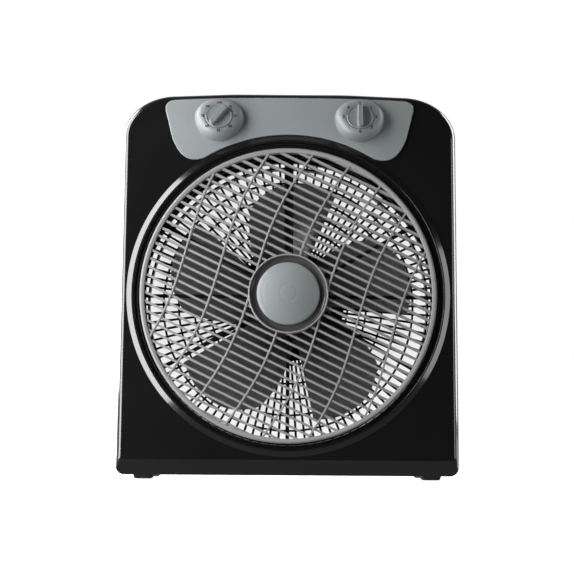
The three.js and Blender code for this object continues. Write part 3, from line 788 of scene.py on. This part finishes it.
def grille_spider():
    """The arms behind the grille that carry its axle; the upright one is broad, with a groove."""
    bm = bmesh.new()
    front, back = 34.0, 39.0
    slim = [(-1.7, back), (-2.2, front + 0.9), (-1.6, front), (1.6, front), (2.2, front + 0.9), (1.7, back)]
    broad = [(-5.3, back), (-5.3, front + 0.4), (-4.9, front), (-3.7, front), (-3.3, front + 2.4),
             (3.3, front + 2.4), (3.7, front), (4.9, front), (5.3, front + 0.4), (5.3, back)]
    for degrees in (0, 30, 90, 150, 180, 210, 270, 330):
        profile = broad if degrees == 90 else slim
        arm = bmesh.new()
        loft(arm, [[(r, y, w) for w, y in profile] for r in (30, 60, 100, 140, 168)], caps=True)
        bmesh.ops.transform(arm, matrix=Matrix.Rotation(-math.radians(degrees), 4, "Y"), verts=arm.verts)
        merge(bm, arm)
    rim = [(SKIRT_R - 6, front), (SKIRT_R - 0.4, front), (SKIRT_R - 0.4, front + 9),
           (SKIRT_R - 2.4, front + 9), (SKIRT_R - 2.4, front + 3), (SKIRT_R - 6, front + 3)]
    lathe(bm, rounded(rim, 0.5, 3), 192)
    hub = [(5.4, front - 3), (13, front - 3), (13, front - 1), (40, front - 1), (43, front + 1), (43, back),
           (40, back), (38, front + 2), (13, front + 2), (13, 43), (5.4, 43)]
    lathe(bm, rounded(hub, 0.8, 3), 96)
    return build("grille_spider_moulded", bm, "black_satin", "housing", "grille_spider")


# ---------------------------------------------------------------- rotor
def blade_point(u, v, index):
    """Middle surface of a blade: u runs out from the hub, v runs round the axis."""
    swept, straight = BLADE_CUT
    corner = swept * max(0.0, 2 * v - 1) ** 2.6 + straight * max(0.0, 1 - v / 0.3)
    length = BLADE_TIP_R - BLADE_ROOT_R
    radius = BLADE_ROOT_R + (length - corner) * u
    at_root, at_tip = BLADE_SPREAD
    width = at_root + (at_tip - at_root) * (radius - BLADE_ROOT_R) / length
    angle = math.radians(BLADE_START + index * 360 / BLADE_COUNT + v * width)
    rise = BLADE_RISE * (0.75 + 0.25 * u)
    y = BLADE_Y + rise * (v - 0.5) + BLADE_BELLY * math.sin(math.pi * v)
    return Vector((radius * math.cos(angle), y, radius * math.sin(angle)))


def blade(bm, index):
    """A blade as a closed skin, thin at its edges and thicker at the root."""
    across, along = 26, 30
    front, back = [], []
    for i in range(along + 1):
        u = i / along
        front_row, back_row = [], []
        for j in range(across + 1):
            v = j / across
            middle = blade_point(u, v, index)
            swell = math.sqrt(max(1 - (2 * v - 1) ** 6, 0)) * math.sqrt(max(1 - u ** 14, 0))
            half = (1.3 - 0.55 * u) * (0.25 + 0.75 * swell)
            front_row.append(bm.verts.new(middle - Vector((0, half, 0))))
            back_row.append(bm.verts.new(middle + Vector((0, half, 0))))
        front.append(front_row)
        back.append(back_row)
    for i in range(along):
        for j in range(across):
            bm.faces.new((front[i][j], front[i][j + 1], front[i + 1][j + 1], front[i + 1][j]))
            bm.faces.new((back[i][j], back[i + 1][j], back[i + 1][j + 1], back[i][j + 1]))
    rim = [(i, 0) for i in range(along)] + [(along, j) for j in range(across)]
    rim += [(i, across) for i in range(along, 0, -1)] + [(0, j) for j in range(across, 0, -1)]
    for (a, b), (c, d) in zip(rim, rim[1:] + rim[:1]):
        bm.faces.new((front[a][b], front[c][d], back[c][d], back[a][b]))


def fan_rotor():
    """Five blades on an open cup that fits over the motor's nose."""
    bm = bmesh.new()
    for index in range(BLADE_COUNT):
        blade(bm, index)
    cup = [(4.4, 80.5), (9, 80.5), (10, 84), (36, 84), (44, 89), (44, 112), (42.2, 112), (42.2, 90.5),
           (35, 86.6), (9.5, 86.6), (9.5, 92.8), (4.4, 92.8)]
    lathe(bm, rounded(cup, 1.6, 5), 128)
    return build("fan_rotor_moulded", bm, "smoke", "fan", "fan_rotor", smooth=45)


# ---------------------------------------------------------------- back
def spoke(bm, inner, outer, half, front, back, angle):
    """A radial rib with an eased front edge."""
    right = [(half * 0.5, front), (half, front + 0.6), (half * 0.8, back)]
    profile = [(-w, y) for w, y in reversed(right)] + right
    cosine, sine = math.cos(angle), math.sin(angle)
    loops = [[(r * cosine - w * sine, y, r * sine + w * cosine) for w, y in profile] for r in (inner, outer)]
    loft(bm, loops, caps=True)


def rear_grille():
    """The fixed grille at the back: radial ribs, rings, a rim and a flat ring in its middle."""
    bm = bmesh.new()
    front, back = REAR_LOW.y, REAR_HIGH.y
    for i in range(REAR_RIBS):
        spoke(bm, 66.5, REAR_OPENING_R + 1, REAR_RIB_HALF, front, back - 0.4, 2 * math.pi * i / REAR_RIBS)
    for radius in REAR_RINGS:
        lip = front + 0.3 if radius < DEEP_RING_R else front - DEEP_RING_LIP
        inner, outer = radius - REAR_RING_HALF, radius + REAR_RING_HALF
        ring = [(inner, lip), (outer, lip), (outer, back), (inner, back)]
        lathe(bm, rounded(ring, 0.4, 2), 180)
    inner = REAR_OPENING_R - 0.5
    rim = [(inner, front), (REAR_HIGH.x, front), (REAR_HIGH.x, back), (inner, back)]
    lathe(bm, rounded(rim, 0.5, 2), 180)
    plate_ring = [(39, front), (67.5, front), (67.5, back), (39, back)]
    lathe(bm, rounded(plate_ring, 0.5, 2), 128)
    return build("rear_grille_moulded", bm, "black_satin", "housing", "rear_grille")


def motor_cap():
    """The cover over the motor at the back, with a ring of vent slots."""
    bm = bmesh.new()
    front, back = MOTOR_CAP_LOW.y, MOTOR_CAP_HIGH.y
    profile = [(63, front), (63, front + 4), (58.5, back - 4), (53, back), (30, back), (29, back - 0.7),
               (27.5, back - 0.7), (26.5, back), (0, back), (0, back - 2), (52, back - 2), (56.6, back - 5),
               (61, front + 3.6), (61, front)]
    lathe(bm, rounded(profile, 1.4, 5), 160)
    piece = build("motor_cap_moulded", bm, "black_satin", "housing", "motor_cap")
    outline = [point + Vector((42, 0)) for point in stadium(7, 1.3, 1.25, 4)]
    slots = bmesh.new()
    for i in range(VENT_SLOTS):
        slot = bmesh.new()
        loft(slot, prism(outline, back - 5, back + 3), caps=True)
        turn = Matrix.Rotation(2 * math.pi * i / VENT_SLOTS, 4, "Y")
        bmesh.ops.transform(slot, matrix=turn, verts=slot.verts)
        merge(slots, slot)
    boolean(piece, tool(slots), "DIFFERENCE")
    return piece


def screw(name, node):
    """A pan-head screw seen from behind, with a cross recess."""
    low, high = span(node)
    bm = bmesh.new()
    place = Matrix.Translation(((low.x + high.x) / 2, 0, (low.z + high.z) / 2))
    head = high.y - 2
    radius = (high.x - low.x) / 2
    shank = radius / 2
    profile = [(0, low.y), (shank, low.y + 3), (shank, head), (radius, head), (radius, head + 0.8),
               (radius * 0.72, high.y - 0.1), (0, high.y)]
    lathe(bm, rounded(profile, 0.35, 3), 40, place)
    piece = build(name, bm, "steel", "housing", node, smooth=50)
    recess = stadium(radius * 0.55, radius * 0.11, radius * 0.1, 2)
    for turn in (0, math.pi / 2):
        cross = bmesh.new()
        loft(cross, prism(recess, high.y - 1.2, high.y + 1), caps=True)
        bmesh.ops.transform(cross, matrix=place @ Matrix.Rotation(turn, 4, "Y"), verts=cross.verts)
        boolean(piece, tool(cross), "DIFFERENCE")
    return piece


def cord_gland():
    """The collar at the back where the mains lead goes in."""
    low, high = span("cord_gland")
    bm = bmesh.new()
    place = Matrix.Translation(((low.x + high.x) / 2, 0, (low.z + high.z) / 2))
    profile = [(3, low.y), (5, low.y), (5, BACK_Y + 0.3), (8, BACK_Y + 0.3), (7.2, high.y - 1), (5, high.y),
               (3, high.y)]
    lathe(bm, rounded(profile, 0.5, 3), 48, place)
    return build("cord_gland_moulded", bm, "black_satin", "housing", "cord_gland")


def foot(name, node):
    """A rubber foot, with the edge it stands on rounded off."""
    low, high = span(node)
    bm = bmesh.new()
    middle = Vector(((low.x + high.x) / 2, (low.y + high.y) / 2))
    half = Vector(((high.x - low.x) / 2, (high.y - low.y) / 2))
    loops = []
    for inset, z in ((0, high.z), (0.4, low.z + 2.2), (1.4, low.z + 0.5), (2.2, low.z)):
        outline = stadium(half.x - inset, half.y - inset, 4)
        loops.append([(middle.x + p.x, middle.y + p.y, z) for p in outline])
    loft(bm, loops, caps=True)
    return build(name, bm, "rubber_feet", "housing", node)


# ---------------------------------------------------------------- the object
front_shell()
rear_shell()
trim_ring()
control_panel()
bezel("timer_bezel_domed", -1, "timer_bezel")
bezel("speed_bezel_domed", 1, "speed_bezel")
dial_scale("timer_scale", -1, ("105", "0", "15", "30", "45", "60", "75", "90"), 4.5)
dial_scale("speed_scale", 1, ("0", "1", "2", "3", "0", "1", "2", "3"), 5.2)
knob("timer_knob_moulded", -1, TIMER_REST, "timer_dial", "timer_knob")
knob("speed_knob_moulded", 1, 0.0, "speed_dial", "speed_knob")
louvre_grille()
hub_dish()
hub_knob()
grille_spider()
fan_rotor()
rear_grille()
motor_cap()
cord_gland()
for number in range(1, 5):
    screw(f"housing_screw_head_{number}", f"housing_screw_{number}")
for corner in ("front_left", "front_right", "rear_left", "rear_right"):
    foot(f"rubber_foot_{corner}", f"foot_{corner}")

for part in frame["record"]["subparts"]:
    node = frame["nodes"][part["node"]]
    node.data.materials.clear()
    node.data.materials.append(MATERIALS[part["material_slot"]])


# ---------------------------------------------------------------- camera, light and floor
CAMERA_DISTANCE = 1.3  # in front of the trim ring's crest
CAMERA_BELOW_AXIS = 0.1596
CAMERA_SIDE = -0.0015
CAMERA_SENSOR = 36  # millimetres, as is the lens
CAMERA_LENS = 72.54
CAMERA_PITCH = math.radians(7.307)
CAMERA_ROLL = math.radians(0.39)
WORLD_FRONT = 0.03  # brightness of the room in front of the fan, behind it and from the floor
WORLD_BEHIND = 0.45
FLOOR_BOUNCE = 0.22
FLOOR_SIZE = 60
FLOOR_GAP = 0.0005
FLOOR_GLOW = 0.97
# painted shade in the backdrop straight behind the fan: its direction, its inner and outer edge, and its
# darkest level
SHADE_RISE = math.radians(7.0)
SHADE_INNER = math.radians(5.8)
SHADE_OUTER = math.radians(8.2)
SHADE_LEVEL = 0.8
LOW_AIM = Vector((0, 0, 0.2))

# name: azimuth in degrees, distance, height above the axis, (width, height), radiance, where it points
LIGHTS = {
    "softbox_left": (-61, 0.72, 0.085, (0.4, 1.14), 9.8, AXIS),
    "wall_left": (-103, 1.1, 0.5, (0.6, 1.25), 12.0, AXIS),
    "low_left": (-103, 1.1, -0.38, (0.6, 0.5), 0.8, LOW_AIM),
    "softbox_right": (59, 1.25, 0.0, (0.35, 0.95), 3.3, AXIS),
    "wall_right": (103, 1.1, 0.45, (0.6, 1.25), 7.0, AXIS),
    "low_right": (103, 1.1, -0.4, (0.6, 0.5), 2.0, LOW_AIM),
    "softbox_top": (0, 0.6, 1.3, (0.6, 0.5), 0.3, AXIS),
    "glow_back": (-140, 1.1, 0.1, (0.7, 0.9), 6.0, AXIS),
}


def add_camera():
    """A long lens below the fan's axis, tilted up and slightly rolled."""
    camera = bpy.data.cameras.new("camera")
    camera.sensor_width = CAMERA_SENSOR
    camera.lens = CAMERA_LENS
    camera.clip_start = 0.01
    holder = bpy.data.objects.new("camera", camera)
    bpy.context.scene.collection.objects.link(holder)
    place = AXIS + Vector((CAMERA_SIDE, -CAMERA_DISTANCE, -CAMERA_BELOW_AXIS))
    turn = Matrix.Rotation(math.pi / 2 + CAMERA_PITCH, 4, "X") @ Matrix.Rotation(CAMERA_ROLL, 4, "Z")
    holder.matrix_world = Matrix.Translation(place) @ turn
    bpy.context.scene.camera = holder


def softbox(name, azimuth, distance, height, size, radiance, aim):
    """A rectangular light of even brightness; azimuth counts from the front of the fan to its right."""
    angle = math.radians(azimuth)
    place = AXIS + Vector((distance * math.sin(angle), -distance * math.cos(angle), height))
    light = bpy.data.lights.new(name, "AREA")
    light.shape = "RECTANGLE"
    light.size, light.size_y = size
    light.energy = radiance * math.pi * size[0] * size[1]
    holder = bpy.data.objects.new(name, light)
    bpy.context.scene.collection.objects.link(holder)
    turn = (aim - place).to_track_quat("-Z", "Y")
    holder.matrix_world = Matrix.Translation(place) @ turn.to_matrix().to_4x4()
    holder.visible_camera = False


def ramp_node(tree, source, low, high, start, end):
    """A smooth step of a value between two limits."""
    node = tree.nodes.new("ShaderNodeMapRange")
    node.interpolation_type = "SMOOTHSTEP"
    node.inputs["From Min"].default_value = low
    node.inputs["From Max"].default_value = high
    node.inputs["To Min"].default_value = start
    node.inputs["To Max"].default_value = end
    tree.links.new(source, node.inputs["Value"])
    return node.outputs["Result"]


def add_world():
    """A white studio: bright behind the fan, dim in front of it, with light bounced up from the floor."""
    world = bpy.data.worlds.new("studio")
    bpy.context.scene.world = world
    world.use_nodes = True
    tree = world.node_tree
    tree.nodes.clear()
    out = tree.nodes.new("ShaderNodeOutputWorld")
    mix = tree.nodes.new("ShaderNodeMixShader")
    seen = tree.nodes.new("ShaderNodeBackground")
    lit = tree.nodes.new("ShaderNodeBackground")
    path = tree.nodes.new("ShaderNodeLightPath")
    place = tree.nodes.new("ShaderNodeTexCoord")
    split = tree.nodes.new("ShaderNodeSeparateXYZ")
    tree.links.new(place.outputs["Generated"], split.inputs["Vector"])
    behind = ramp_node(tree, split.outputs["Y"], 0.0, 0.75, WORLD_FRONT, WORLD_BEHIND)
    below = ramp_node(tree, split.outputs["Z"], -0.7, 0.05, FLOOR_BOUNCE, 0.0)
    total = tree.nodes.new("ShaderNodeMath")
    total.operation = "ADD"
    tree.links.new(behind, total.inputs[0])
    tree.links.new(below, total.inputs[1])
    tree.links.new(total.outputs["Value"], lit.inputs["Strength"])
    # painted shade: the wall straight behind the fan, as the camera sees it, is painted darker than the rest
    # of the white room
    toward = tree.nodes.new("ShaderNodeVectorMath")
    toward.operation = "DOT_PRODUCT"
    toward.inputs[1].default_value = (0.0, math.cos(SHADE_RISE), math.sin(SHADE_RISE))
    tree.links.new(place.outputs["Generated"], toward.inputs[0])
    outer, inner = math.cos(SHADE_OUTER), math.cos(SHADE_INNER)
    shade = ramp_node(tree, toward.outputs["Value"], outer, inner, 1.0, SHADE_LEVEL)
    tree.links.new(shade, seen.inputs["Strength"])
    seen.inputs["Color"].default_value = (1, 1, 1, 1)
    tree.links.new(path.outputs["Is Camera Ray"], mix.inputs["Fac"])
    tree.links.new(lit.outputs["Background"], mix.inputs[1])
    tree.links.new(seen.outputs["Background"], mix.inputs[2])
    tree.links.new(mix.outputs["Shader"], out.inputs["Surface"])


def add_floor():
    """A white floor that glows evenly, hidden from reflections and from diffuse and shadow rays."""
    bpy.ops.mesh.primitive_plane_add(size=FLOOR_SIZE, location=(0, 0, CAD_BOX[0][2] - FLOOR_GAP))
    floor = bpy.context.object
    floor.name = "floor"
    material = bpy.data.materials.new("floor_white")
    material.use_nodes = True
    tree = material.node_tree
    shader = tree.nodes["Principled BSDF"]
    shader.inputs["Base Color"].default_value = (0.8, 0.8, 0.8, 1)
    shader.inputs["Roughness"].default_value = 0.9
    shader.inputs["Emission Color"].default_value = (1, 1, 1, 1)
    shader.inputs["Emission Strength"].default_value = FLOOR_GLOW
    floor.data.materials.append(material)
    floor.visible_diffuse = False
    floor.visible_glossy = False
    floor.visible_shadow = False


add_camera()
add_world()
add_floor()
for name, values in LIGHTS.items():
    softbox(name, *values)

bpy.context.scene.view_settings.view_transform = "Standard"
bpy.context.scene.view_settings.look = "None"
